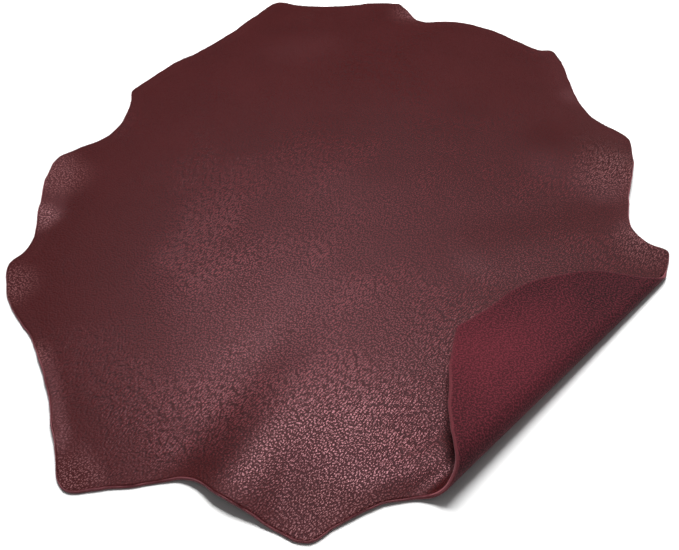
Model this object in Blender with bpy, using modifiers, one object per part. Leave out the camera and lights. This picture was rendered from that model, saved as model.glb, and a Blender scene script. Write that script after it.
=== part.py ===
"""A whole small leather hide, tanned with its grain side up, lying on the floor.

The skin was stretched on toggles while it dried, so its rim runs from tip to tip in hollow
bays. The front right corner is turned over on itself and shows the suede side. The hide is
one piece, 2.8 mm thick, so it is one solid. Metres throughout, +Z up, +Y away from the viewer
along the length of the skin, the floor at Z = 0 under the middle of the hide.
"""
import math

import bpy
import numpy as np
from mathutils import Matrix, Vector
from mathutils.geometry import delaunay_2d_cdt

MM = 0.001

# Sizes of the sheet, and the step that puts its middle over the origin
THICKNESS = 2.8 * MM
RIM_POINTS = 340
FIELD_SPACING = 11.8 * MM
FLAP_SPACING = 9.5 * MM
RIM_CLEARANCE = 5.0 * MM
TO_MIDDLE = (-0.9 * MM, 3.3 * MM, 0.0)

# The turned corner bends round a cone. Its point lies past the right end of the fold.
CONE_POINT = (308.2 * MM, -30.6 * MM)
BEND_START_DEG = 221.5
BEND_ANGLE = 0.16
BEND_TURN = 3.3
RELAX_START = 0.25
RELAX_ANGLE = 0.50
RELAX_TURN = 0.18
CONE_STEP = 0.002
CONE_STEPS = 700
BEND_RAYS = 15
BEND_FIRST_RING = 90.0 * MM
BEND_RING_GROWTH = 1.05
BEND_RINGS = 29
FLAP_AIR = 1.0 * MM

# The rim, clockwise from the front point. Each row is one tip: its place, the softness of its
# point, then the heading and reach of the curve that leaves it and of the one that comes in.
TIP_COLUMNS = ("x", "y", "soft", "leave", "leave_reach", "arrive", "arrive_reach")
TIPS = (
    (-19, -304, 14, 154, 125, 40, 101),
    (-171, -271, 17, 105, 171, 6, 119),
    (-252, -78, 15, 7, 28, -84, 77),
    (-242, 39, 14, 50, 38, -98, 58),
    (-195, 137, 6, 56, 112, -84, 80),
    (-68, 300, 20, -37, 56, -123, 172),
    (63, 289, 6, -72, 86, 137, 27),
    (197, 200, 6, 13, 35, 132, 142),
    (254, 71, 20, -94, 70, 157, 70),
    (250, -70, 6, -104, 52, 167, 55),
    (249, -146, 14, -91, 83, 111, 52),
    (199, -263, 6, -163, 157, 69, 39),
)

# Where the skin stands off the floor. Each row is a soft ridge between two places, with its
# half width and how far it lifts the skin at its first and its second end.
RIDGE_COLUMNS = ("from_x", "from_y", "to_x", "to_y", "half_width", "from_lift", "to_lift")
RIDGES = (
    (-262, 34, -256, -22, 42, 8.5, 8.0),
    (-216, -182, -193, -236, 26, 4.5, 4.5),
    (-84, -298, 22, -116, 48, 7.4, 0.5),
    (-8, -236, 84, -112, 88, 3.8, 0.8),
    (8, -268, 64, -246, 26, 2.6, 2.6),
    (-22, -322, -14, -318, 32, 1.6, 1.6),
    (252, 8, 238, -42, 46, 6.0, 6.0),
    (195, 45, 250, 0, 58, 3.5, 4.5),
    (112, -74, 240, -48, 52, 1.8, 3.4),
    (112, 288, 82, 280, 34, 8.0, 8.0),
    (215, 205, 222, 140, 36, 4.5, 4.5),
    (10, 30, 100, 235, 85, 1.4, 2.4),
    (-50, 228, -30, 240, 60, 2.5, 2.5),
)


def rows(columns, table):
    """Turn a table into one dictionary for each row."""
    return [dict(zip(columns, row)) for row in table]


def heading(degrees):
    """A flat direction, in degrees turned left from +X."""
    return np.array([math.cos(math.radians(degrees)), math.sin(math.radians(degrees))])


def bay(start, end, steps=40):
    """The curve of the rim from one tip to the next."""
    a = np.array([start["x"], start["y"]]) * MM
    d = np.array([end["x"], end["y"]]) * MM
    b = a + heading(start["leave"]) * start["leave_reach"] * MM
    c = d + heading(end["arrive"]) * end["arrive_reach"] * MM
    u = (np.arange(steps) / steps)[:, None]
    return (1 - u) ** 3 * a + 3 * u * (1 - u) ** 2 * b + 3 * u ** 2 * (1 - u) * c + u ** 3 * d


def rim():
    """The cut rim of the flat skin at even spacing, with each tip rounded by its softness."""
    tips = rows(TIP_COLUMNS, TIPS)
    bays = [bay(tip, tips[(i + 1) % len(tips)]) for i, tip in enumerate(tips)]
    line = np.vstack(bays)
    closed = np.vstack([line, line[:1]])
    along = np.concatenate([[0.0], np.cumsum(np.hypot(*np.diff(closed, axis=0).T))])
    whole = along[-1]
    at_tip = along[np.cumsum([0] + [len(b) for b in bays[:-1]])]
    place = np.arange(RIM_POINTS) / RIM_POINTS * whole
    reach = np.full(RIM_POINTS, 5.0 * MM)
    for tip, where in zip(tips, at_tip):
        away = np.abs((place - where + whole / 2) % whole - whole / 2)
        soft = tip["soft"] * MM
        reach = np.maximum(reach, soft * np.clip(2.0 - away / (1.5 * soft), 0.0, 1.0))
    total = np.zeros((RIM_POINTS, 2))
    weights = 0.0
    for shift in np.linspace(-1.0, 1.0, 9):
        weight = 1.0 - 0.8 * abs(shift)
        spot = (place + shift * reach) % whole
        total += weight * np.stack([np.interp(spot, along, closed[:, k]) for k in (0, 1)], 1)
        weights += weight
    return total / weights


def ridge_height(points):
    """How far the skin stands off the floor at each flat place."""
    total = np.zeros(len(points))
    for ridge in rows(RIDGE_COLUMNS, RIDGES):
        a = np.array([ridge["from_x"], ridge["from_y"]]) * MM
        b = np.array([ridge["to_x"], ridge["to_y"]]) * MM
        share = np.clip((points - a) @ (b - a) / ((b - a) @ (b - a)), 0.0, 1.0)
        away = np.hypot(*(points - a - share[:, None] * (b - a)).T)
        swell = np.clip(1.0 - (away / (ridge["half_width"] * MM)) ** 2, 0.0, 1.0) ** 3
        share = share ** 2 * (3.0 - 2.0 * share)
        lift = ridge["from_lift"] + share * (ridge["to_lift"] - ridge["from_lift"])
        total += (lift * MM * swell) ** 4
    return total ** 0.25


def bend_rate(angle):
    """How sharply the skin bends at this angle round the cone's point."""
    rate = 0.0
    if 0.0 < angle < BEND_ANGLE:
        rate += 1.25 * BEND_TURN / BEND_ANGLE * (1.0 - (2.0 * angle / BEND_ANGLE - 1.0) ** 4)
    relax = (angle - RELAX_START) / RELAX_ANGLE
    if 0.0 < relax < 1.0:
        rate -= RELAX_TURN / RELAX_ANGLE * (1.0 - math.cos(2.0 * math.pi * relax))
    return rate


def cone_frames():
    """Outward line and upward normal of the bent skin for each angle round the cone's point."""
    start = heading(BEND_START_DEG)
    frame = Matrix(((start[0], start[1], 0.0), (-start[1], start[0], 0.0), (0.0, 0.0, 1.0)))
    lines = [tuple(frame[0])]
    normals = [tuple(frame[2])]
    for step in range(CONE_STEPS):
        rate = bend_rate((step + 0.5) * CONE_STEP)
        axis = Vector(frame[2]) + rate * Vector(frame[0])
        turn = Matrix.Rotation(axis.length * CONE_STEP, 3, axis)
        frame = Matrix([turn @ Vector(row) for row in frame])
        lines.append(tuple(frame[0]))
        normals.append(tuple(frame[2]))
    return np.array(lines), np.array(normals)


def round_cone(points):
    """Distance and angle of each flat place about the cone's point, from the bend's start."""
    away = points - np.array(CONE_POINT)
    start = heading(BEND_START_DEG)
    across = np.array([-start[1], start[0]])
    return np.hypot(*away.T), np.arctan2(away @ across, away @ start)


def turn_corner(points, height):
    """Lay the flat skin down: the floor part stays flat, the corner turns over the cone."""
    far, angle = round_cone(points)
    lines, normals = cone_frames()
    spots = np.arange(CONE_STEPS + 1) * CONE_STEP
    line = np.stack([np.interp(angle, spots, lines[:, k]) for k in range(3)], 1)
    normal = np.stack([np.interp(angle, spots, normals[:, k]) for k in range(3)], 1)
    apex = np.array([CONE_POINT[0], CONE_POINT[1], 0.0])
    bent = apex + far[:, None] * line + height[:, None] * normal
    flat = np.column_stack([points, height])
    bent[angle <= 0.0] = flat[angle <= 0.0]
    lowest = 2.0 * THICKNESS + FLAP_AIR + ridge_height(bent[:, :2])
    gap = bent[:, 2] - lowest
    eased = lowest + 0.5 * (gap + np.sqrt(gap ** 2 + (2.0 * MM) ** 2))
    share = np.clip((angle / BEND_ANGLE - 0.5) / 0.3, 0.0, 1.0)
    share = share ** 2 * (3.0 - 2.0 * share)
    bent[:, 2] += share * (eased - bent[:, 2])
    return bent


def hexagon_field(spacing, low, high):
    """Evenly staggered places over a rectangle."""
    rise = spacing * math.sqrt(3.0) / 2.0
    lines = []
    for j in range(int((high[1] - low[1]) / rise) + 2):
        across = np.arange(low[0] + 0.5 * spacing * (j % 2), high[0], spacing)
        lines.append(np.column_stack([across, np.full(len(across), low[1] + j * rise)]))
    return np.vstack(lines)


def inside_rim(points, edge, clearance):
    """Pick the places inside the rim and clear of it."""
    a = edge
    b = np.roll(edge, -1, axis=0)
    x = points[:, 0][:, None]
    y = points[:, 1][:, None]
    crosses = (a[:, 1] > y) != (b[:, 1] > y)
    slope = (b[:, 0] - a[:, 0]) / np.where(b[:, 1] == a[:, 1], 1.0, b[:, 1] - a[:, 1])
    inside = (crosses & (x < a[:, 0] + (y - a[:, 1]) * slope)).sum(axis=1) % 2 == 1
    step = b - a
    away = points[:, None, :] - a[None]
    share = np.clip((away * step).sum(2) / (step ** 2).sum(1), 0.0, 1.0)
    gap = np.hypot(*np.moveaxis(away - share[..., None] * step, 2, 0)).min(axis=1)
    return points[inside & (gap > clearance)]


def flat_sheet():
    """The flat skin as a triangle mesh: close rays over the bend, an even field elsewhere."""
    edge = rim()
    low = edge.min(axis=0)
    high = edge.max(axis=0)
    start = heading(BEND_START_DEG)
    across = np.array([-start[1], start[0]])
    rays = np.linspace(-0.06, 1.18, BEND_RAYS + 3) * BEND_ANGLE
    rings = BEND_FIRST_RING * BEND_RING_GROWTH ** np.arange(BEND_RINGS)
    bend = [np.array(CONE_POINT) + far * (math.cos(a) * start + math.sin(a) * across)
            for a in rays for far in rings]
    field = hexagon_field(FIELD_SPACING, low, high)
    far, angle = round_cone(field)
    field = field[(angle < rays[0] - 0.5 * FIELD_SPACING / far) & (angle > -3.2)]
    flap = hexagon_field(FLAP_SPACING, low, high)
    far, angle = round_cone(flap)
    flap = flap[angle > rays[-1] + 0.5 * FLAP_SPACING / far]
    kept = [inside_rim(np.array(bend), edge, 0.6 * RIM_CLEARANCE)]
    kept += [inside_rim(group, edge, RIM_CLEARANCE) for group in (field, flap)]
    places = np.vstack([edge] + kept)
    loop = list(range(len(edge)))
    found = delaunay_2d_cdt([Vector(p) for p in places], [], [loop], 1, 1e-7)
    return np.array([tuple(p) for p in found[0]]), [tuple(face) for face in found[2]]


def leather():
    """Burgundy leather, a little glossy on the grain."""
    material = bpy.data.materials.new("hide_leather")
    material.use_nodes = True
    shader = material.node_tree.nodes["Principled BSDF"]
    shader.inputs["Base Color"].default_value = (0.095, 0.023, 0.025, 1.0)
    shader.inputs["Roughness"].default_value = 0.48
    shader.inputs["Metallic"].default_value = 0.0
    return material


def build():
    """Model the hide."""
    for old in list(bpy.data.objects):
        bpy.data.objects.remove(old)
    collection = bpy.data.collections.new("leather_hide")
    bpy.context.scene.collection.children.link(collection)
    places, faces = flat_sheet()
    laid = turn_corner(places, ridge_height(places)) + np.array(TO_MIDDLE)
    mesh = bpy.data.meshes.new("hide")
    mesh.from_pydata([tuple(p) for p in laid], [], faces)
    mesh.materials.append(leather())
    hide = bpy.data.objects.new("hide", mesh)
    collection.objects.link(hide)
    body = hide.modifiers.new("leather thickness", "SOLIDIFY")
    body.thickness = THICKNESS
    body.offset = 1.0
    body.use_even_offset = True
    body.use_rim = True


build()
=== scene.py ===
# %% [markdown]
# # A leather hide with one corner turned over
#
# The object is a whole small skin, tanned, dyed burgundy and finished on its grain side. It
# lies loose on the floor. Its rim runs in hollow bays between blunt points, because the wet
# skin was stretched on toggles while it dried. The front right corner is turned over and shows
# the suede side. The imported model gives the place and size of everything, so it loads first.

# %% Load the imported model
import math
import bpy
import numpy as np
from mathutils import Matrix, Vector, kdtree
from mathutils.geometry import delaunay_2d_cdt


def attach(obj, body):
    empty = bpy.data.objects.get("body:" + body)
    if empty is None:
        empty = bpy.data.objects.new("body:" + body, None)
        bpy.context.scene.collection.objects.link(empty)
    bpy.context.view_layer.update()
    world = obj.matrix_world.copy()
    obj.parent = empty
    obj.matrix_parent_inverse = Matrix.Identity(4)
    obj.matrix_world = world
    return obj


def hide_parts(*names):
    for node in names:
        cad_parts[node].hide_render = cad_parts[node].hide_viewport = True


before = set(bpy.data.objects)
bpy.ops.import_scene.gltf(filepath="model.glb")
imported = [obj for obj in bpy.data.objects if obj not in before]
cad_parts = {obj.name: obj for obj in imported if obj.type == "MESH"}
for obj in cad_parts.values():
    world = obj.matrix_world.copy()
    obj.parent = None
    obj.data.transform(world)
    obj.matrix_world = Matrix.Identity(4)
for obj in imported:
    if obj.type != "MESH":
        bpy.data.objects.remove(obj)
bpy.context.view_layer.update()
MM = 0.001
print("packed nodes:", sorted(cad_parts))

# %% [markdown]
# ## The camera
#
# The photographer looked down at the hide from in front. The grain is about round near the
# front edge and flattened at the back, which gives the tilt. The view is set before anything
# else, so that every later step can be judged in it.

# %% Place the camera
CAMERA_PLACE = (-2.3 * MM, -498.8 * MM, 455.1 * MM)
CAMERA_DOWN_DEG = 48.0
CAMERA_ACROSS_DEG = 45.0
SENSOR_WIDTH_MM = 36.0
NEAREST_SEEN = 0.01


def add_to_scene(name, data):
    """A new object with this data, linked to the scene."""
    made = bpy.data.objects.new(name, data)
    bpy.context.scene.collection.objects.link(made)
    return made


camera_data = bpy.data.cameras.new("camera")
camera_data.sensor_width = SENSOR_WIDTH_MM
camera_data.lens = SENSOR_WIDTH_MM / 2 / math.tan(math.radians(CAMERA_ACROSS_DEG / 2))
camera_data.clip_start = NEAREST_SEEN
camera = add_to_scene("camera", camera_data)
camera.location = CAMERA_PLACE
camera.rotation_euler = (math.radians(90 - CAMERA_DOWN_DEG), 0, 0)
bpy.context.scene.camera = camera
print("lens", round(camera_data.lens, 1), "mm")

# %% [markdown]
# ## The rim of the flat skin
#
# A tanner sees the skin as a flat sheet first. Twelve points stand out where the toggles
# gripped it. One row of a table holds each point, how blunt it is, and the headings of the
# curves on either side. Tables like this are easier to correct than a long traced line. This
# one was not chosen by hand: a least-squares program fitted its places, headings and reaches
# to the outline in the picture and rounded them.

# %% Tips of the rim
TIP_COLUMNS = ("x", "y", "soft", "leave", "leave_reach", "arrive", "arrive_reach")
TIPS = (
    (-19, -304, 14, 154, 125, 40, 101),
    (-171, -271, 17, 105, 171, 6, 119),
    (-252, -78, 15, 7, 28, -84, 77),
    (-242, 39, 14, 50, 38, -98, 58),
    (-195, 137, 6, 56, 112, -84, 80),
    (-68, 300, 20, -37, 56, -123, 172),
    (63, 289, 6, -72, 86, 137, 27),
    (197, 200, 6, 13, 35, 132, 142),
    (254, 71, 20, -94, 70, 157, 70),
    (250, -70, 6, -104, 52, 167, 55),
    (249, -146, 14, -91, 83, 111, 52),
    (199, -263, 6, -163, 157, 69, 39),
)
RIM_POINTS = 760


def rows(columns, table):
    """Turn a table into one dictionary for each row."""
    return [dict(zip(columns, row)) for row in table]


def heading(degrees):
    """A flat direction, in degrees turned left from +X."""
    return np.array([math.cos(math.radians(degrees)), math.sin(math.radians(degrees))])


def bay(start, end, steps=80):
    """The curve of the rim from one tip to the next."""
    a = np.array([start["x"], start["y"]]) * MM
    d = np.array([end["x"], end["y"]]) * MM
    b = a + heading(start["leave"]) * start["leave_reach"] * MM
    c = d + heading(end["arrive"]) * end["arrive_reach"] * MM
    u = (np.arange(steps) / steps)[:, None]
    return (1 - u) ** 3 * a + 3 * u * (1 - u) ** 2 * b + 3 * u ** 2 * (1 - u) * c + u ** 3 * d


# %% [markdown]
# The knife did not run quite true, so the cut wanders by a few tenths of a millimetre. A sum
# of slow waves along the rim gives that without any random numbers.

# %% The cut line
WANDER_COLUMNS = ("waves", "size", "phase")
WANDER = ((37, 0.35, 0.3), (61, 0.22, 1.9), (103, 0.12, 4.1), (173, 0.05, 2.2))
RIM_SOFTNESS = 5.0 * MM
ROUNDING_TAPS = 9
ROUNDING_FADE = 0.8


def once_round():
    """An angle for each point of the rim, a full turn in all."""
    return 2 * math.pi * np.arange(RIM_POINTS) / RIM_POINTS


def cut_line():
    """The rim at even spacing, its points rounded, and the direction out of the skin."""
    tips = rows(TIP_COLUMNS, TIPS)
    bays = [bay(tip, tips[(i + 1) % len(tips)]) for i, tip in enumerate(tips)]
    line = np.vstack(bays)
    closed = np.vstack([line, line[:1]])
    along = np.concatenate([[0.0], np.cumsum(np.hypot(*np.diff(closed, axis=0).T))])
    whole = along[-1]
    at_tip = along[np.cumsum([0] + [len(b) for b in bays[:-1]])]
    place = np.arange(RIM_POINTS) / RIM_POINTS * whole
    reach = np.full(RIM_POINTS, RIM_SOFTNESS)
    for tip, where in zip(tips, at_tip):
        away = np.abs((place - where + whole / 2) % whole - whole / 2)
        soft = tip["soft"] * MM
        reach = np.maximum(reach, soft * np.clip(2.0 - away / (1.5 * soft), 0.0, 1.0))
    total = np.zeros((RIM_POINTS, 2))
    weights = 0.0
    for shift in np.linspace(-1.0, 1.0, ROUNDING_TAPS):
        weight = 1.0 - ROUNDING_FADE * abs(shift)
        spot = (place + shift * reach) % whole
        total += weight * np.stack([np.interp(spot, along, closed[:, k]) for k in (0, 1)], 1)
        weights += weight
    smooth = total / weights
    run = np.roll(smooth, -1, axis=0) - np.roll(smooth, 1, axis=0)
    outward = np.column_stack([-run[:, 1], run[:, 0]]) / np.hypot(*run.T)[:, None]
    turn = once_round()
    wander = sum(w["size"] * MM * np.sin(w["waves"] * turn + w["phase"])
                 for w in rows(WANDER_COLUMNS, WANDER))
    return smooth + outward * wander[:, None], outward


rim_line, rim_outward = cut_line()
print("rim", round(float(np.hypot(*np.diff(rim_line, axis=0).T).sum()), 3), "m round")

# %% [markdown]
# ## Where the skin stands off the floor
#
# A dried hide never lies dead flat. Its bays lift, and long swells run in from the rim. Each
# row is one soft ridge between two places, with how far it lifts the skin at either end. A
# cloth simulation could settle a sheet too, but leather keeps the shape in which it dried, so
# its lifts are listed one by one. The big ridges are the imported model's own. The small ones are
# creases that only a close look shows.

# %% Ridges and creases
RIDGE_COLUMNS = ("from_x", "from_y", "to_x", "to_y", "half_width", "from_lift", "to_lift")
RIDGES = (
    (-262, 34, -256, -22, 42, 8.5, 8.0),
    (-216, -182, -193, -236, 26, 4.5, 4.5),
    (-84, -298, 22, -116, 48, 7.4, 0.5),
    (-8, -236, 84, -112, 88, 3.8, 0.8),
    (8, -268, 64, -246, 26, 2.6, 2.6),
    (-22, -322, -14, -318, 32, 1.6, 1.6),
    (252, 8, 238, -42, 46, 6.0, 6.0),
    (195, 45, 250, 0, 58, 3.5, 4.5),
    (112, -74, 240, -48, 52, 1.8, 3.4),
    (112, 288, 82, 280, 34, 8.0, 8.0),
    (215, 205, 222, 140, 36, 4.5, 4.5),
    (10, 30, 100, 235, 85, 1.4, 2.4),
    (-50, 228, -30, 240, 60, 2.5, 2.5),
)
CREASES = (
    (-196, -222, -172, -252, 14, 0.4, 0.4),
    (-168, -240, -150, -268, 12, 0.4, 0.4),
)
RIDGE_MERGE = 4


def ease(share):
    """The same share from 0 to 1, with a level start and end."""
    return share ** 2 * (3.0 - 2.0 * share)


def swell(points, table):
    """The height of one table's soft ridges at each flat place."""
    heights = []
    for ridge in rows(RIDGE_COLUMNS, table):
        a = np.array([ridge["from_x"], ridge["from_y"]]) * MM
        b = np.array([ridge["to_x"], ridge["to_y"]]) * MM
        share = np.clip((points - a) @ (b - a) / ((b - a) @ (b - a)), 0.0, 1.0)
        away = np.hypot(*(points - a - share[:, None] * (b - a)).T)
        fade = np.clip(1.0 - (away / (ridge["half_width"] * MM)) ** 2, 0.0, 1.0) ** 3
        lift = ridge["from_lift"] + ease(share) * (ridge["to_lift"] - ridge["from_lift"])
        heights.append(lift * MM * fade)
    return np.array(heights)


def lie(points):
    """How far the suede side stands off the floor at each flat place."""
    return (swell(points, RIDGES) ** RIDGE_MERGE).sum(axis=0) ** (1.0 / RIDGE_MERGE)


print(len(RIDGES), "ridges and", len(CREASES), "creases")


# %% [markdown]
# ## Turning the corner over
#
# Leather bends but does not stretch, so a turned corner is part of a cone: every straight
# line through the cone's point stays straight. A Simple Deform modifier would bend it round an
# even cylinder, and a corner turned by hand is tighter at one end. So the skin is unrolled as
# angle and distance about the cone's point. A small frame walks round the angle and turns a
# little at each step, and it gives the outward line and the normal for any place on the skin.
# The cone's point was last moved after a search against the line of the fold in the picture.

# %% The cone of the turned corner
CONE_POINT = (308.2 * MM, -30.6 * MM)
BEND_START = heading(221.5)
BEND_ACROSS = np.array([-BEND_START[1], BEND_START[0]])
BEND_EVENNESS = 4
BEND_ANGLE = 0.16
BEND_TURN = 3.3
RELAX_START = 0.25
RELAX_ANGLE = 0.50
RELAX_TURN = 0.18
CONE_STEP = 0.002
CONE_STEPS = 700


def bend_rate(angle):
    """How sharply the skin bends at this angle round the cone's point."""
    rate = 0.0
    if 0.0 < angle < BEND_ANGLE:
        shape = 1.0 - (2.0 * angle / BEND_ANGLE - 1.0) ** BEND_EVENNESS
        rate += (1.0 + 1.0 / BEND_EVENNESS) * BEND_TURN / BEND_ANGLE * shape
    relax = (angle - RELAX_START) / RELAX_ANGLE
    if 0.0 < relax < 1.0:
        rate -= RELAX_TURN / RELAX_ANGLE * (1.0 - math.cos(2.0 * math.pi * relax))
    return rate


def cone_frames():
    """Outward line and normal of the bent skin for each step of angle."""
    held = Matrix(((*BEND_START, 0.0), (*BEND_ACROSS, 0.0), (0.0, 0.0, 1.0)))
    lines = [tuple(held[0])]
    normals = [tuple(held[2])]
    for step in range(CONE_STEPS):
        axis = Vector(held[2]) + bend_rate((step + 0.5) * CONE_STEP) * Vector(held[0])
        turn = Matrix.Rotation(axis.length * CONE_STEP, 3, axis)
        held = Matrix([turn @ Vector(row) for row in held])
        lines.append(tuple(held[0]))
        normals.append(tuple(held[2]))
    return np.array(lines), np.array(normals)


CONE_LINES, CONE_NORMALS = cone_frames()
print("the bend spans", round(math.degrees(BEND_ANGLE), 1), "degrees round the cone's point")


def round_cone(points):
    """Distance and angle of each flat place about the cone's point."""
    away = points - np.array(CONE_POINT)
    return np.hypot(*away.T), np.arctan2(away @ BEND_ACROSS, away @ BEND_START)


# %% [markdown]
# Leather this thick holds its curl open, so the flap stands clear of the skin under it: by
# about two millimetres at the back end, and much more in front. A soft limit keeps it from
# sinking lower than two thicknesses and a little air, with no visible kink where it starts.

# %% Lay the skin down
THICKNESS = 2.8 * MM
FLAP_AIR = 1.0 * MM
FLAP_EASE = 2.0 * MM
EASE_FROM = 0.5
EASE_OVER = 0.3
TO_MIDDLE = (-0.9 * MM, 3.3 * MM, 0.0)


def turn_corner(points, height):
    """Lay the flat skin down: the floor part stays flat, the corner turns over the cone."""
    far, angle = round_cone(points)
    spots = np.arange(CONE_STEPS + 1) * CONE_STEP
    line, normal = (np.stack([np.interp(angle, spots, walk[:, k]) for k in range(3)], 1)
                    for walk in (CONE_LINES, CONE_NORMALS))
    apex = np.array([CONE_POINT[0], CONE_POINT[1], 0.0])
    bent = apex + far[:, None] * line + height[:, None] * normal
    flat = np.column_stack([points, height])
    bent[angle <= 0.0] = flat[angle <= 0.0]
    lowest = 2.0 * THICKNESS + FLAP_AIR + lie(bent[:, :2])
    gap = bent[:, 2] - lowest
    eased = lowest + 0.5 * (gap + np.sqrt(gap ** 2 + FLAP_EASE ** 2))
    share = ease(np.clip((angle / BEND_ANGLE - EASE_FROM) / EASE_OVER, 0.0, 1.0))
    bent[:, 2] += share * (eased - bent[:, 2])
    return bent + np.array(TO_MIDDLE)


print("flap", round((2.0 * THICKNESS + FLAP_AIR) / MM, 1), "mm over the floor at the least")


# %% [markdown]
# ## The sheet itself
#
# The flat skin is filled with small triangles: an even field over most of it, rays of close
# points over the bend, and two loops just inside the cut so that its lip can be rounded. A
# square grid would leave steps along the cut, and a Delaunay fill keeps every point of the rim.
# The suede side is laid down first. The grain side stands one thickness above it along the
# normal. A wall of narrow rows closes the cut edge between them.

# %% Fill the flat skin
FIELD_SPACING = 3.15 * MM
LIP_LOOPS = (1.2 * MM, 2.1 * MM)
CLEAR_OF_RIM = 3.4 * MM
BEND_RAYS = 44
BEND_RAYS_SPAN = (-0.06, 1.18)
BEND_FIRST_RING = 90.0 * MM
BEND_RING_GROWTH = 1.028
BEND_RINGS = 52
KEEP_INSIDE = 1
SAME_PLACE = 1e-7


def hexagon_field(spacing, low, high):
    """Evenly staggered places over a rectangle."""
    rise = spacing * math.sqrt(3.0) / 2.0
    lines = []
    for j in range(int((high[1] - low[1]) / rise) + 2):
        across = np.arange(low[0] + 0.5 * spacing * (j % 2), high[0], spacing)
        lines.append(np.column_stack([across, np.full(len(across), low[1] + j * rise)]))
    return np.vstack(lines)


def rim_gaps(points):
    """Distance of each flat place from the cut."""
    fine = [rim_line + share * (np.roll(rim_line, -1, axis=0) - rim_line)
            for share in (0.0, 0.2, 0.4, 0.6, 0.8)]
    fine = np.vstack(fine)
    tree = kdtree.KDTree(len(fine))
    for i, p in enumerate(fine):
        tree.insert((p[0], p[1], 0.0), i)
    tree.balance()
    return np.array([tree.find((p[0], p[1], 0.0))[2] for p in points])


def flat_sheet():
    """Places and triangles of the flat skin. The first places are the rim's own, in order."""
    rays = np.linspace(*BEND_RAYS_SPAN, BEND_RAYS) * BEND_ANGLE
    rings = BEND_FIRST_RING * BEND_RING_GROWTH ** np.arange(BEND_RINGS)
    lines = [math.cos(a) * BEND_START + math.sin(a) * BEND_ACROSS for a in rays]
    bend = np.array([np.array(CONE_POINT) + far * line for line in lines for far in rings])
    field = hexagon_field(FIELD_SPACING, rim_line.min(axis=0), rim_line.max(axis=0))
    far, angle = round_cone(field)
    margin = 0.5 * FIELD_SPACING / far
    field = field[(angle < rays[0] - margin) | (angle > rays[-1] + margin)]
    inner = np.vstack([bend, field])
    inner = inner[rim_gaps(inner) > CLEAR_OF_RIM]
    lips = [rim_line - depth * rim_outward for depth in LIP_LOOPS]
    places = np.vstack([rim_line] + lips + [inner])
    loop = list(range(RIM_POINTS))
    found = delaunay_2d_cdt([Vector(p) for p in places], [], [loop], KEEP_INSIDE, SAME_PLACE)
    spots = np.array([tuple(p) for p in found[0]])
    faces = np.array([list(face) for face in found[2]])
    used = np.unique(faces)
    renumber = np.full(len(spots), -1)
    renumber[used] = np.arange(len(used))
    return spots[used], renumber[faces]


flat_places, flat_faces = flat_sheet()
print("flat skin:", len(flat_places), "places,", len(flat_faces), "triangles")

# %% [markdown]
# The grain lip is rounded, since a blade drags it down, and the suede lip is lifted a little.
# A Solidify modifier gives one even thickness and square lips. Both lips are made here instead,
# from the distance to the cut.

# %% Raise the two sides
GRAIN_LIP_DROP = 0.30 * MM
GRAIN_LIP_REACH = 1.2 * MM
GRAIN_LIP_BACK = 0.55 * MM
SUEDE_LIP_RISE = 0.25 * MM
WALL_ROWS = 6
WALL_BULGE = 0.30 * MM
WALL_BLUNTNESS = 0.6
WAVER_COLUMNS = ("waves", "size", "drift")
WAVER = ((131, 0.08, 2.0), (211, 0.06, -3.1))
GRAIN_SIDE, SUEDE_SIDE, CUT_SIDE = range(3)


def corner_normals(points, faces):
    """Smooth normals of a triangle mesh."""
    a, b, c = (points[faces[:, k]] for k in range(3))
    face_normal = np.cross(b - a, c - a)
    total = np.zeros_like(points)
    for k in range(3):
        np.add.at(total, faces[:, k], face_normal)
    return total / np.linalg.norm(total, axis=1)[:, None]


gaps = rim_gaps(flat_places)
gaps[:RIM_POINTS] = 0.0
suede = turn_corner(flat_places, lie(flat_places))
upward = corner_normals(suede, flat_faces)
thick = np.full(len(flat_places), THICKNESS) + swell(flat_places, CREASES).sum(axis=0)
lip = np.clip(1.0 - gaps / GRAIN_LIP_REACH, 0.0, 1.0) ** 2
grain = suede + upward * (thick - GRAIN_LIP_DROP * lip)[:, None]
suede_lip = np.clip(1.0 - gaps / LIP_LOOPS[0], 0.0, 1.0)
suede_side = suede + upward * (SUEDE_LIP_RISE * suede_lip)[:, None]
print("thickest", round(float(thick.max() * 1000), 2), "mm")

# %% [markdown]
# The blade was held at a slant, so the grain side ends a little further in than the suede
# side. The wall of the cut bulges and wavers, because the fibres spring back unevenly behind
# the knife.

# %% Close the cut edge
def off_the_cut():
    """The direction that leads out of the laid skin at each place of the rim."""
    out = turn_corner(rim_line + 0.5 * MM * rim_outward, lie(rim_line)) - suede[:RIM_POINTS]
    return out / np.linalg.norm(out, axis=1)[:, None]


def cut_wall():
    """Rows of points down the cut edge, and how far down each lies, without the two rims."""
    out = off_the_cut()
    grain[:RIM_POINTS] -= GRAIN_LIP_BACK * out
    turn = once_round()
    points = []
    for row in range(1, WALL_ROWS):
        share = row / WALL_ROWS
        waver = sum(w["size"] * np.sin(w["waves"] * turn + w["drift"] * row)
                    for w in rows(WAVER_COLUMNS, WAVER))
        bulge = WALL_BULGE * math.sin(math.pi * share) ** WALL_BLUNTNESS + waver * MM
        level = (1 - share) * grain[:RIM_POINTS] + share * suede_side[:RIM_POINTS]
        points.append(level + out * bulge[:, None])
    return points


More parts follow.
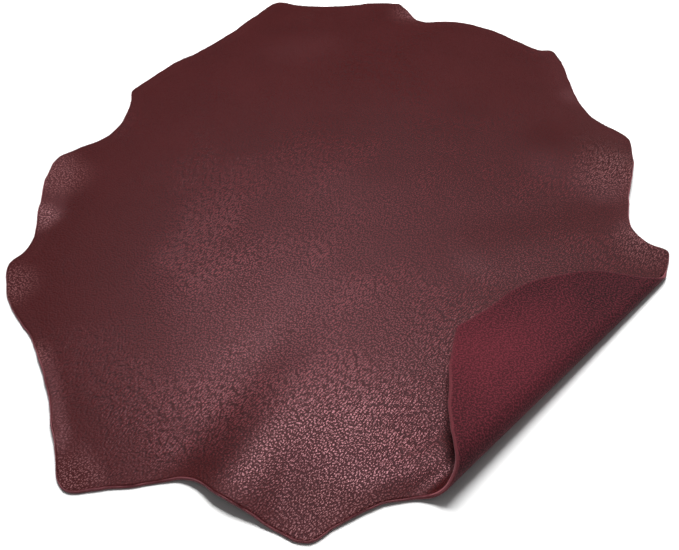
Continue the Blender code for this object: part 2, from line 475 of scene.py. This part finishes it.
def hide_mesh():
    """One closed mesh: grain side, suede side, and the wall of the cut between them."""
    count = len(flat_places)
    wall = cut_wall()
    points = np.vstack([grain, suede_side] + wall)
    rims = [np.arange(RIM_POINTS)]
    rims += [2 * count + row * RIM_POINTS + np.arange(RIM_POINTS) for row in range(WALL_ROWS - 1)]
    rims.append(count + np.arange(RIM_POINTS))
    quads = []
    for upper, lower in zip(rims[:-1], rims[1:]):
        quads.append(np.column_stack([upper, np.roll(upper, -1), np.roll(lower, -1), lower]))
    quads = np.vstack(quads)
    faces = flat_faces.tolist() + (flat_faces[:, ::-1] + count).tolist() + quads.tolist()
    mesh = bpy.data.meshes.new("hide_sheet")
    mesh.from_pydata(points.tolist(), [], faces)
    sides = ([GRAIN_SIDE] * len(flat_faces) + [SUEDE_SIDE] * len(flat_faces)
             + [CUT_SIDE] * len(quads))
    mesh.polygons.foreach_set("material_index", sides)
    mesh.polygons.foreach_set("use_smooth", [True] * len(faces))
    return mesh


sheet_mesh = hide_mesh()
sheet_mesh.validate()
hide = add_to_scene("hide_sheet", sheet_mesh)
print("hide:", len(sheet_mesh.polygons), "faces")

# %% [markdown]
# ## A map of the flat skin
#
# The grain has to follow the skin round the curl, so the materials read a map of the flat
# sheet. One unit of the map is 1.2 m of skin. The suede side sits beside the grain side on the
# map, and the cut edge runs along a strip of its own, so that no two places share a spot.

# %% Map the flat skin
MAP_SPAN = 1.2
MAP_CORNER = (0.29, 0.32)
SUEDE_SHIFT = 0.57
EDGE_STRIP_FROM = 0.66
EDGE_STRIP_LENGTH = 1.1


def map_sheet(mesh):
    """Give every corner of every face its place on the map of the flat skin."""
    count = len(flat_places)
    spot = np.zeros((len(mesh.vertices), 2))
    spot[:count] = flat_places + np.array(MAP_CORNER)
    spot[count:2 * count] = flat_places + np.array(MAP_CORNER) + np.array([SUEDE_SHIFT, 0.0])
    corners = np.zeros(len(mesh.loops), dtype=int)
    mesh.loops.foreach_get("vertex_index", corners)
    values = spot[corners]
    edge_step = EDGE_STRIP_LENGTH / RIM_POINTS
    first_quad = 2 * len(flat_faces)
    quads = np.arange(len(mesh.polygons) - first_quad)
    along = quads % RIM_POINTS
    row = quads // RIM_POINTS
    start = 3 * first_quad
    for corner, (step, drop) in enumerate(((0, 0), (1, 0), (1, 1), (0, 1))):
        values[start + corner::4, 0] = (along + step) * edge_step
        values[start + corner::4, 1] = EDGE_STRIP_FROM + (row + drop) * THICKNESS / WALL_ROWS
    layer = mesh.uv_layers.new(name="flat_skin")
    layer.data.foreach_set("uv", (values / MAP_SPAN).ravel())


map_sheet(sheet_mesh)
rim_gap = sheet_mesh.attributes.new("rim_gap", "FLOAT", "POINT")
wall_zeros = np.zeros((WALL_ROWS - 1) * RIM_POINTS)
rim_gap.data.foreach_set("value", np.concatenate([gaps, gaps, wall_zeros]))
print("mapped", len(sheet_mesh.loops), "corners")

# %% [markdown]
# ## Writing a finish as sums
#
# A material's graph is easier to read as arithmetic. A small class wraps one output of a
# graph, so that `0.3 + 0.7 * mask` builds the two Math nodes it means. A second class holds
# one finish and makes every other kind of node.

# %% Shader arithmetic
class Wire:
    """One output of a material's graph, used like a number."""

    def __init__(self, finish, socket):
        self.finish = finish
        self.socket = socket

    def maths(self, operation, *values):
        return self.finish.node("ShaderNodeMath", {"operation": operation}, *values)

    def __add__(self, other):
        return self.maths("ADD", self, other)

    __radd__ = __add__

    def __sub__(self, other):
        return self.maths("SUBTRACT", self, other)

    def __rsub__(self, other):
        return self.maths("SUBTRACT", other, self)

    def __mul__(self, other):
        return self.maths("MULTIPLY", self, other)

    __rmul__ = __mul__

    def most(self, other):
        return self.maths("MAXIMUM", self, other)


class Finish:
    """A procedural material: its graph, its shader and the one method that adds nodes."""

    def __init__(self, name, **constants):
        self.material = bpy.data.materials.new(name)
        self.material.use_nodes = True
        self.tree = self.material.node_tree
        self.shader = self.tree.nodes["Principled BSDF"]
        for socket, value in constants.items():
            self.shader.inputs[socket.replace("_", " ")].default_value = value

    def node(self, kind, settings=None, *values, out=0, **named):
        """Add a node: its settings first, then the values or wires of its sockets."""
        made = self.tree.nodes.new(kind)
        for key, value in (settings or {}).items():
            setattr(made, key, value)
        pairs = [(made.inputs[i], v) for i, v in enumerate(values) if v is not None]
        pairs += [(made.inputs[k.replace("_", " ")], v) for k, v in named.items()]
        for socket, value in pairs:
            self.put(socket, value)
        return Wire(self, made.outputs[out])

    def put(self, socket, value):
        """Link a wire to a socket, or set the socket's own value."""
        if isinstance(value, Wire):
            self.tree.links.new(value.socket, socket)
        else:
            socket.default_value = value

    def flat_place(self):
        """The place on the flat skin, in metres."""
        place = self.node("ShaderNodeUVMap", {"uv_map": "flat_skin"})
        return self.node("ShaderNodeVectorMath", {"operation": "SCALE"}, place, Scale=MAP_SPAN)

    def noise(self, place, per_metre, detail=2.0, roughness=0.5, out=0, **more):
        """Soft noise, from 0 to 1, with so many swells for each metre."""
        return self.node("ShaderNodeTexNoise", {"noise_dimensions": "2D"}, Vector=place,
                         Scale=per_metre, Detail=detail, Roughness=roughness, out=out, **more)

    def between(self, value, low, high):
        """0 below low, 1 above high, smooth between."""
        return self.node("ShaderNodeMapRange", {"interpolation_type": "SMOOTHSTEP"},
                         value, low, high, 0.0, 1.0)

    def mix(self, share, first, second):
        """A blend of two colours."""
        made = self.tree.nodes.new("ShaderNodeMix")
        made.data_type = "RGBA"
        self.put(made.inputs[0], share)
        self.put(made.inputs[6], first)
        self.put(made.inputs[7], second)
        return Wire(self, made.outputs[2])

    def shift(self, place, push, by):
        """Move a place by a coloured noise, by so many metres."""
        centred = self.node("ShaderNodeVectorMath", {"operation": "SUBTRACT"},
                            push, (0.5, 0.5, 0.5))
        scaled = self.node("ShaderNodeVectorMath", {"operation": "SCALE"}, centred, Scale=by)
        return self.node("ShaderNodeVectorMath", {"operation": "ADD"}, place, scaled)

    def turned(self, place, degrees, stretch):
        """The place turned and then stretched, for a pattern with a direction."""
        return self.node("ShaderNodeMapping", {"vector_type": "TEXTURE"}, Vector=place,
                         Rotation=(0.0, 0.0, math.radians(degrees)), Scale=stretch)

    def distance(self, place, spot):
        """How far each place is from one spot."""
        return self.node("ShaderNodeVectorMath", {"operation": "DISTANCE"}, place, spot, out=1)

    def from_cut(self):
        """How far each place is from the cut, in metres."""
        return self.node("ShaderNodeAttribute", {"attribute_name": "rim_gap"}, out=2)

    def near(self, place, spot, full, reach):
        """1 within so many millimetres of a spot on the flat skin, fading to 0 at the reach."""
        spot = (spot[0] * MM + MAP_CORNER[0], spot[1] * MM + MAP_CORNER[1], 0.0)
        return 1.0 - self.between(self.distance(place, spot), full * MM, reach * MM)

    def relief(self, height):
        """Turn a height in metres into the shader's normal."""
        bump = self.node("ShaderNodeBump", {}, Strength=1.0, Distance=1.0, Height=height)
        self.put(self.shader.inputs["Normal"], bump)


print("shader arithmetic ready")

# %% [markdown]
# ## The grain side
#
# Full-grain leather is a crowd of small domes with fine creases between them, here about
# 1.5 mm apart and drawn out along the pull of the skin. The whole skin has about a hundred
# thousand of them, too many for real faces, so they are a bump in the finish. A dome is one
# minus the squared distance to its Voronoi cell's centre, with a finer crowd on it.

# %% Grain pattern
PEBBLE = 1.45 * MM
FINE_PER_PEBBLE = 1.9
LONG_PER_PEBBLE = 0.62
DOME_STEEPNESS = 2.6
PULL_DEG = 44.0
PULL_STRETCH = (1.35, 0.85, 1.0)
WRINKLE_DEG = 54.0
WRINKLE_STRETCH = (4.0, 0.70, 1.0)
SLOW_PUSH = 12.0 * MM
QUICK_PUSH = 0.6 * MM
PORES_PER_METRE = 1500.0
PEBBLE_HEIGHT = 0.07 * MM
FINE_PEBBLE_HEIGHT = 0.018 * MM
PORE_HEIGHT = 0.004 * MM
WRINKLE_HEIGHT = 0.050 * MM


def domes(finish, place, per_metre, shuffle):
    """A crowd of domes, so many for each metre and set more or less out of line."""
    away = finish.node("ShaderNodeTexVoronoi", {"voronoi_dimensions": "2D", "feature": "F1"},
                       Vector=place, Scale=per_metre, Randomness=shuffle)
    return (1.0 - (away * away) * DOME_STEEPNESS).most(0.0)


def grain_pattern(finish, place):
    """Raise the grain, and hand back its pebbles, fine pebbles, wrinkles and their patches."""
    slow = finish.noise(place, 9.0, detail=3.0, out=1)
    quick = finish.noise(place, 160.0, out=1)
    warped = finish.shift(finish.shift(place, slow, SLOW_PUSH), quick, QUICK_PUSH)
    drawn = finish.turned(warped, PULL_DEG, PULL_STRETCH)
    pebble = domes(finish, drawn, 1.0 / PEBBLE, 0.85)
    small = domes(finish, drawn, FINE_PER_PEBBLE / PEBBLE, 0.9)
    pores = finish.noise(place, PORES_PER_METRE)
    pulled = finish.turned(warped, WRINKLE_DEG, WRINKLE_STRETCH)
    long_cells = finish.node("ShaderNodeTexVoronoi",
                             {"voronoi_dimensions": "2D", "feature": "DISTANCE_TO_EDGE"},
                             Vector=pulled, Scale=LONG_PER_PEBBLE / PEBBLE, Randomness=1.0)
    wrinkle = finish.between(long_cells, 0.0, 0.22)
    where = finish.between(finish.noise(place, 13.0), 0.44, 0.62)
    height = (pebble * PEBBLE_HEIGHT + small * FINE_PEBBLE_HEIGHT + pores * PORE_HEIGHT
              + wrinkle * where * WRINKLE_HEIGHT)
    finish.relief(height)
    return pebble, small, wrinkle, where


print("pebbles", round(PEBBLE / MM, 2), "mm apart")

# %% [markdown]
# The creases hold less wax and are matt, and the tops are polished. That, more than the height
# of the domes, makes the sparkle where a lamp is mirrored. The creases are also painted darker
# and the tops paler, partly as dye and partly as painted shade in the creases and painted
# glints on the tops. A fine speckle keeps one top from being like the next. The painted contrast
# is strongest in the middle, where the grain is open, and weaker at the back and beside the cut,
# where a roller pressed it smooth. At a few places near the rim the tops are painted much paler,
# as painted highlights where the skin would mirror a lamp.

# %% Grain leather
GRAIN_TINT = (1.0, 0.50, 0.56, 1.0)
OPEN_GLINT_PLACE = (50.0, -110.0)
OPEN_GLINT_FULL = 70.0
OPEN_GLINT_REACH = 270.0
SPECKLES_PER_METRE = 760.0
# Crease, middle and top colours: partly dye, partly painted shade in the creases and painted
# glints on the tops.
CREASE_DYE_AND_SHADE = (0.012, 0.0004, 0.0004, 1.0)
DYE_MID = (0.038, 0.0024, 0.0022, 1.0)
TOP_DYE_AND_GLINT = (0.115, 0.0265, 0.0310, 1.0)
# Spots near the rim where the tops are painted pale, as painted highlights.
HIGHLIGHT_SPOT_COLUMNS = ("x", "y", "reach", "share")
PAINTED_HIGHLIGHT_SPOTS = (
    (-234, 16, 36, 0.75),
    (-238, -34, 20, 0.7),
    (-243, -104, 28, 0.8),
    (-214, -170, 20, 0.6),
    (-166, -264, 28, 0.75),
    (226, 16, 44, 0.6),
    (232, -64, 34, 0.5),
    (72, 272, 30, 0.4),
    (-6, -290, 50, 0.6),
)
PAINTED_HIGHLIGHT_COLOUR = (0.240, 0.1050, 0.1080, 1.0)
EDGE_DYE = (0.130, 0.0260, 0.0330, 1.0)
EDGE_PALE = (0.320, 0.1000, 0.1150, 1.0)


def grain_leather():
    """The waxed and dyed outer side of the skin."""
    finish = Finish("grain_leather", Specular_IOR_Level=0.27, Specular_Tint=GRAIN_TINT)
    place = finish.flat_place()
    pebble, small, wrinkle, where = grain_pattern(finish, place)
    mottle = finish.noise(place, 22.0, detail=5.0, roughness=0.6)
    gap = finish.from_cut()
    pressed = 1.0 - finish.between(gap, 4.0 * MM, 14.0 * MM)
    patches = finish.between(finish.noise(place, 14.0, detail=3.0), 0.28, 0.68)
    # Where the painted crease shade and painted top glints are strongest.
    open_grain_and_glints = (finish.near(place, OPEN_GLINT_PLACE, OPEN_GLINT_FULL, OPEN_GLINT_REACH)
                  * (1.0 - 0.6 * pressed) * (0.55 + 0.45 * patches))
    speckle = finish.between(finish.noise(place, SPECKLES_PER_METRE), 0.36, 0.66)
    crowd = 0.44 * finish.between(pebble, 0.40, 0.95) + 0.24 * finish.between(small, 0.35, 0.95)
    crowd = crowd + 0.32 * speckle + 0.60 * where * (wrinkle - 0.62)
    tops = 0.40 + (0.50 + 2.50 * open_grain_and_glints) * (crowd - 0.54)
    tops = tops + 0.14 * (mottle - 0.5)
    # Painted shade in the creases and painted glints on the tops, mixed with the dye.
    colour = finish.mix(finish.between(tops, 0.0, 0.42), CREASE_DYE_AND_SHADE, DYE_MID)
    colour = finish.mix(finish.between(tops, 0.42, 1.0), colour, TOP_DYE_AND_GLINT)
    # Painted highlights on the tops at those spots.
    painted_highlight = 0.0
    for spot in rows(HIGHLIGHT_SPOT_COLUMNS, PAINTED_HIGHLIGHT_SPOTS):
        near = finish.near(place, (spot["x"], spot["y"]), 0.2 * spot["reach"], spot["reach"])
        painted_highlight = near * spot["share"] + painted_highlight
    colour = finish.mix(painted_highlight * finish.between(crowd, 0.45, 0.80), colour, PAINTED_HIGHLIGHT_COLOUR)
    worn = 1.0 - finish.between(gap, 0.2 * MM, 1.1 * MM)
    patchy = finish.between(finish.noise(place, 30.0), 0.42, 0.62)
    colour = finish.mix(worn * (0.15 + 0.6 * patchy), colour, EDGE_DYE)
    finish.put(finish.shader.inputs["Base Color"], colour)
    polished = finish.between(crowd, 0.38, 0.78) * (1.0 - 0.5 * pressed)
    dull = 0.58 - 0.34 * polished + 0.06 * (mottle - 0.5)
    finish.put(finish.shader.inputs["Roughness"], dull)
    return finish.material


sheet_mesh.materials.append(grain_leather())
print("grain leather:", len(sheet_mesh.materials[GRAIN_SIDE].node_tree.nodes), "nodes")

# %% [markdown]
# ## The suede side
#
# The flesh side is a nap of short fibres. Hair curves could stand for it, but from a step away
# it shows only as tone and glow. It has no gloss of its own, and it glows where the light grazes
# it, which the shader's sheen gives. The turned corner is painted lighter round one spot in its
# middle and darker away from it, as painted light and shade. Beside the cut the lip is fuzzy and
# paler.

# %% Suede
NAP_HEIGHT = 0.22 * MM
TUFTS_PER_METRE = 800.0
HAIRS_PER_METRE = 1500.0
SUEDE_SHEEN = (0.85, 0.30, 0.38, 1.0)
SUEDE_DARK = (0.007, 0.0006, 0.0012, 1.0)
SUEDE_LIGHT = (0.128, 0.0150, 0.0250, 1.0)
# Centre and reach of the painted light on the turned corner.
PAINTED_LIGHT_PLACE = (0.165 + MAP_CORNER[0] + SUEDE_SHIFT, -0.250 + MAP_CORNER[1], 0.0)
PAINTED_LIGHT_REACH = 0.100
LIP_PLACE = (0.110 + MAP_CORNER[0] + SUEDE_SHIFT, -0.282 + MAP_CORNER[1], 0.0)


def suede_leather():
    """The napped inner side of the skin."""
    finish = Finish("suede_leather", Specular_IOR_Level=0.2, Sheen_Weight=0.15,
                    Sheen_Roughness=0.45, Sheen_Tint=SUEDE_SHEEN)
    place = finish.flat_place()
    tuft = finish.noise(place, TUFTS_PER_METRE, detail=3.0, roughness=0.65)
    hair = finish.noise(finish.turned(place, 38.0, (2.4, 0.7, 1.0)), HAIRS_PER_METRE)
    finish.relief((0.65 * tuft + 0.35 * hair) * NAP_HEIGHT)
    stroke = finish.noise(finish.turned(place, 40.0, (1.7, 1.0, 1.0)), 24.0, detail=3.0)
    # Painted light and shade: lighter round one spot of the turned corner, darker away from it.
    away = finish.distance(place, PAINTED_LIGHT_PLACE)
    painted_flap_light = 1.0 - finish.between(away + 0.03 * (stroke - 0.5), 0.012, PAINTED_LIGHT_REACH)
    tone = (0.62 * finish.between(tuft, 0.45, 0.60) + 0.12 * finish.between(stroke, 0.3, 0.7)
            + 0.26 * painted_flap_light)
    colour = finish.mix(tone, SUEDE_DARK, SUEDE_LIGHT)
    gap = finish.from_cut()
    lip = 1.0 - finish.between(gap + 0.0012 * (stroke - 0.5), 0.8 * MM, 2.6 * MM)
    corner = finish.distance(place, LIP_PLACE)
    lip = lip * (0.12 + 0.63 * (1.0 - finish.between(corner, 0.03, 0.085)))
    colour = finish.mix(lip, colour, EDGE_DYE)
    finish.put(finish.shader.inputs["Base Color"], colour)
    finish.put(finish.shader.inputs["Roughness"], 0.95 - 0.1 * tuft)
    return finish.material


sheet_mesh.materials.append(suede_leather())
print("suede:", len(sheet_mesh.materials[SUEDE_SIDE].node_tree.nodes), "nodes")

# %% [markdown]
# ## The cut edge
#
# The cut shows the skin in section. Its fibres are rough, paler in a band along the top next to
# the grain side and darker below. It is under three millimetres high, so a finish on its own
# strip of the map is enough, with the loose fibres of the next step on top.

# %% Cut edge
CUT_FIBRE_HEIGHT = 0.25 * MM
CUT_SHEEN = (0.9, 0.5, 0.55, 1.0)


def cut_edge():
    """The raw edge of the skin."""
    finish = Finish("cut_edge", Specular_IOR_Level=0.25, Sheen_Weight=0.25,
                    Sheen_Roughness=0.5, Sheen_Tint=CUT_SHEEN)
    place = finish.flat_place()
    fibre = finish.noise(finish.turned(place, 0.0, (2.5, 1.0, 1.0)), 900.0, detail=3.0)
    clump = finish.noise(place, 160.0, detail=3.0)
    finish.relief(fibre * CUT_FIBRE_HEIGHT)
    depth = finish.node("ShaderNodeSeparateXYZ", {}, place, out=1)
    middle = (depth - EDGE_STRIP_FROM) * (1.0 / THICKNESS)
    # Paler in a band along the top of the cut, darker below.
    pale = 1.0 - finish.between(middle, 0.08, 0.40)
    pale = (0.14 + 0.86 * pale) * finish.between(clump, 0.30, 0.62)
    finish.put(finish.shader.inputs["Base Color"], finish.mix(pale, EDGE_DYE, EDGE_PALE))
    finish.put(finish.shader.inputs["Roughness"], 0.9 - 0.15 * fibre)
    return finish.material


sheet_mesh.materials.append(cut_edge())
print("finishes:", [m.name for m in sheet_mesh.materials])

# %% [markdown]
# ## Loose fibres
#
# A raw cut is never clean. Short fibres stand out of the edge and out of the nap beside it.
# They repeat by the thousand over a surface, so Geometry Nodes scatter them: points on the cut
# faces, one thin bent cone on each point, turned and sized at random from a fixed seed. None
# may dip into the floor.

# %% Build the fibre tree
FIBRE_LENGTH = 0.9 * MM
FIBRE_WIDTH = 0.09 * MM
FIBRES_PER_AREA = 0.75e6
NAP_BESIDE_CUT = 1.0 * MM
FIBRE_FLOOR = 0.05 * MM
FIBRE_LEAN = 0.9
FIBRE_SIZES = (0.45, 1.25)
FIBRE_SIDES = 3
FIBRE_BENDS = 3
FIBRE_SEED = 7


class Tree:
    """A Geometry Nodes tree under construction."""

    def __init__(self, name):
        self.group = bpy.data.node_groups.new(name, "GeometryNodeTree")
        self.group.is_modifier = True
        self.inputs = {}
        self.add_input("Geometry", "NodeSocketGeometry")
        self.group.interface.new_socket("Geometry", in_out="OUTPUT",
                                        socket_type="NodeSocketGeometry")
        self.source = self.group.nodes.new("NodeGroupInput")
        self.result = self.group.nodes.new("NodeGroupOutput")

    def add_input(self, name, kind):
        made = self.group.interface.new_socket(name, in_out="INPUT", socket_type=kind)
        self.inputs[name] = made.identifier

    def node(self, kind, settings=None, **values):
        """Add a node: settings first, then the values or links of its sockets by name."""
        made = self.group.nodes.new(kind)
        for key, value in (settings or {}).items():
            setattr(made, key, value)
        for name, value in values.items():
            socket = made.inputs[int(name[1:])] if name[0] == "_" else made.inputs[name]
            if isinstance(value, bpy.types.NodeSocket):
                self.group.links.new(value, socket)
            else:
                socket.default_value = value
        return made

    def on_side(self, side, wanted):
        """Whether a face belongs to one side of the hide."""
        return self.node("FunctionNodeCompare", {"data_type": "INT", "operation": "EQUAL"},
                         _2=side, _3=wanted).outputs[0]

    def maths(self, operation, first, second):
        """One sum of two values."""
        return self.node("ShaderNodeMath", {"operation": operation},
                         _0=first, _1=second).outputs[0]


def fibre_tree():
    """Scatter short bent fibres over the cut edge and the nap beside it."""
    tree = Tree("edge_fibres")
    for name, kind in (("Length", "NodeSocketFloat"), ("Width", "NodeSocketFloat"),
                       ("Per area", "NodeSocketFloat"), ("Nap reach", "NodeSocketFloat"),
                       ("Seed", "NodeSocketInt"), ("Finish", "NodeSocketMaterial")):
        tree.add_input(name, kind)
    given = tree.source.outputs
    side = tree.node("GeometryNodeInputMaterialIndex").outputs[0]
    on_cut = tree.on_side(side, CUT_SIDE)
    on_suede = tree.on_side(side, SUEDE_SIDE)
    gap = tree.node("GeometryNodeInputNamedAttribute", {"data_type": "FLOAT"},
                    Name="rim_gap").outputs[0]
    near = tree.node("FunctionNodeCompare", {"data_type": "FLOAT", "operation": "LESS_THAN"},
                     _0=gap, _1=given["Nap reach"]).outputs[0]
    nap = tree.node("FunctionNodeBooleanMath", {"operation": "AND"},
                    _0=on_suede, _1=near).outputs[0]
    chosen = tree.node("FunctionNodeBooleanMath", {"operation": "OR"},
                       _0=on_cut, _1=nap).outputs[0]
    points = tree.node("GeometryNodeDistributePointsOnFaces", {"distribute_method": "RANDOM"},
                       Mesh=given["Geometry"], Selection=chosen, Density=given["Per area"],
                       Seed=given["Seed"])
    cone = tree.node("GeometryNodeMeshCone", {"fill_type": "NONE"}, Vertices=FIBRE_SIDES,
                     _1=FIBRE_BENDS)
    cone.inputs["Radius Top"].default_value = 0.0
    tree.group.links.new(given["Width"], cone.inputs["Radius Bottom"])
    tree.group.links.new(given["Length"], cone.inputs["Depth"])
    place = tree.node("GeometryNodeInputPosition").outputs[0]
    parts = tree.node("ShaderNodeSeparateXYZ", _0=place).outputs
    share = tree.maths("DIVIDE", parts[2], given["Length"])
    square = tree.maths("MULTIPLY", share, share)
    bend = tree.maths("MULTIPLY", square, given["Length"])
    push = tree.node("ShaderNodeCombineXYZ", _0=bend).outputs[0]
    bent = tree.node("GeometryNodeSetPosition", Geometry=cone.outputs["Mesh"], Offset=push)
    spin = tree.node("FunctionNodeRandomValue", {"data_type": "FLOAT_VECTOR"},
                     Seed=given["Seed"])
    spin.inputs[0].default_value = (-FIBRE_LEAN, -FIBRE_LEAN, -math.pi)
    spin.inputs[1].default_value = (FIBRE_LEAN, FIBRE_LEAN, math.pi)
    swing = tree.node("FunctionNodeEulerToRotation", _0=spin.outputs[0])
    aimed = tree.node("FunctionNodeRotateRotation", {"rotation_space": "LOCAL"},
                      _0=points.outputs["Rotation"], _1=swing.outputs[0])
    size = tree.node("FunctionNodeRandomValue", {"data_type": "FLOAT"}, Seed=given["Seed"])
    size.inputs[2].default_value, size.inputs[3].default_value = FIBRE_SIZES
    placed = tree.node("GeometryNodeInstanceOnPoints", Points=points.outputs["Points"],
                       Instance=bent.outputs[0], Rotation=aimed.outputs[0],
                       Scale=size.outputs[1])
    real = tree.node("GeometryNodeRealizeInstances", Geometry=placed.outputs[0])
    shaded = tree.node("GeometryNodeSetMaterial", Geometry=real.outputs[0],
                       Material=given["Finish"])
    tree.group.links.new(shaded.outputs[0], tree.result.inputs[0])
    return tree


fibre_nodes = fibre_tree()
print("fibre tree:", len(fibre_nodes.group.nodes), "nodes")

# %% [markdown]
# The tree is run once, on a copy of the hide, and the fibres are kept as one plain mesh. That
# leaves nothing to work out again when the hide is shown.

# %% Scatter the fibres
def fibre_finish():
    """The pale fibres that stand out of the cut."""
    finish = Finish("edge_fibre", Specular_IOR_Level=0.2, Roughness=0.9)
    place = finish.node("ShaderNodeTexCoord", out=3)
    tone = finish.node("ShaderNodeTexNoise", {}, Vector=place, Scale=300.0)
    finish.put(finish.shader.inputs["Base Color"], finish.mix(tone, EDGE_DYE, EDGE_PALE))
    return finish.material


def scatter_fibres():
    """Run the tree on a copy of the hide and keep the result as a plain mesh."""
    carrier = add_to_scene("fibre_carrier", sheet_mesh.copy())
    scatter = carrier.modifiers.new("fibres", "NODES")
    scatter.node_group = fibre_nodes.group
    values = {"Length": FIBRE_LENGTH, "Width": FIBRE_WIDTH / 2, "Per area": FIBRES_PER_AREA,
              "Nap reach": NAP_BESIDE_CUT, "Seed": FIBRE_SEED, "Finish": fibre_finish()}
    for name, value in values.items():
        scatter[fibre_nodes.inputs[name]] = value
    ready = carrier.evaluated_get(bpy.context.evaluated_depsgraph_get())
    mesh = bpy.data.meshes.new_from_object(ready)
    bpy.data.objects.remove(carrier)
    for corner in mesh.vertices:
        corner.co.z = max(corner.co.z, FIBRE_FLOOR)
    mesh.name = "edge_fibres"
    return add_to_scene("edge_fibres", mesh)


fibres = scatter_fibres()
print("fibres:", len(fibres.data.polygons), "faces")

# %% [markdown]
# ## Floor and light
#
# The picture was taken on a white sweep. Only the near part of it shows, so a flat pale plane
# does for it. It is stage, and no part of the object.

# %% Floor
FLOOR_HALF = 4.0
FLOOR_WHITE = (0.90, 0.90, 0.90, 1.0)


def pale_floor():
    """A plain pale floor, just under the hide."""
    corners = [(-FLOOR_HALF, -FLOOR_HALF, 0.0), (FLOOR_HALF, -FLOOR_HALF, 0.0),
               (FLOOR_HALF, FLOOR_HALF, 0.0), (-FLOOR_HALF, FLOOR_HALF, 0.0)]
    mesh = bpy.data.meshes.new("floor")
    mesh.from_pydata(corners, [], [(0, 1, 2, 3)])
    finish = Finish("floor_paper", Base_Color=FLOOR_WHITE, Specular_IOR_Level=0.1)
    place = finish.node("ShaderNodeTexCoord", out=3)
    fibre = finish.node("ShaderNodeTexNoise", {}, Vector=place, Scale=600.0)
    finish.put(finish.shader.inputs["Roughness"], 0.75 + 0.15 * fibre)
    mesh.materials.append(finish.material)
    floor = add_to_scene("floor", mesh)
    return floor


floor = pale_floor()
print("floor:", 2 * FLOOR_HALF, "m wide")

# %% [markdown]
# The key lamp hangs behind the hide and high up. It makes the floor white, throws the short
# shadow forward, and is mirrored in the front of the leather as a sheen. Its place follows from
# the mirror: the sheen shows where the camera would see the lamp in the hide. A side panel and
# a weak fill open the shadows a little. The room is kept dim, so that they stay dark under the
# rim.

# %% Lamps
LAMP_COLUMNS = ("name", "x", "y", "z", "aim_x", "aim_y", "wide", "deep", "turn_deg", "watts")
LAMPS = (
    ("fill", -0.70, -0.75, 1.60, 0.0, 0.0, 1.0, 1.0, 0, 0.8),
    ("sheen", 0.04, 0.42, 1.20, 0.015, -0.230, 0.64, 0.38, -25, 26.0),
    ("side", 1.10, 0.90, 0.80, 0.0, 0.0, 1.0, 0.6, 0, 3.5),
)
ROOM_LIGHT = 0.12
ROOM_WHITE = (1.0, 1.0, 1.0, 1.0)


def light_room():
    """Hang the lamps and set the dim room round them."""
    for lamp in rows(LAMP_COLUMNS, LAMPS):
        data = bpy.data.lights.new(lamp["name"], "AREA")
        data.shape = "RECTANGLE"
        data.size = lamp["wide"]
        data.size_y = lamp["deep"]
        data.energy = lamp["watts"]
        hung = add_to_scene(lamp["name"], data)
        hung.location = (lamp["x"], lamp["y"], lamp["z"])
        aim = Vector((lamp["aim_x"], lamp["aim_y"], 0.0)) - hung.location
        turn = Matrix.Rotation(math.radians(lamp["turn_deg"]), 4, "Z")
        hung.rotation_euler = (aim.to_track_quat("-Z", "Y").to_matrix().to_4x4() @ turn).to_euler()
    world = bpy.data.worlds.new("room")
    world.use_nodes = True
    background = world.node_tree.nodes["Background"]
    background.inputs["Color"].default_value = ROOM_WHITE
    background.inputs["Strength"].default_value = ROOM_LIGHT
    bpy.context.scene.world = world
    bpy.context.scene.view_settings.view_transform = "Standard"


light_room()
print("lamps:", [row[0] for row in LAMPS])

# %% [markdown]
# ## Tie the pieces to the model
#
# The sheet and its fibres hang from the body's root, and the imported solid that the sheet
# stands for is hidden.


for piece in (hide, fibres):
    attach(piece, "root")
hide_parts("hide")
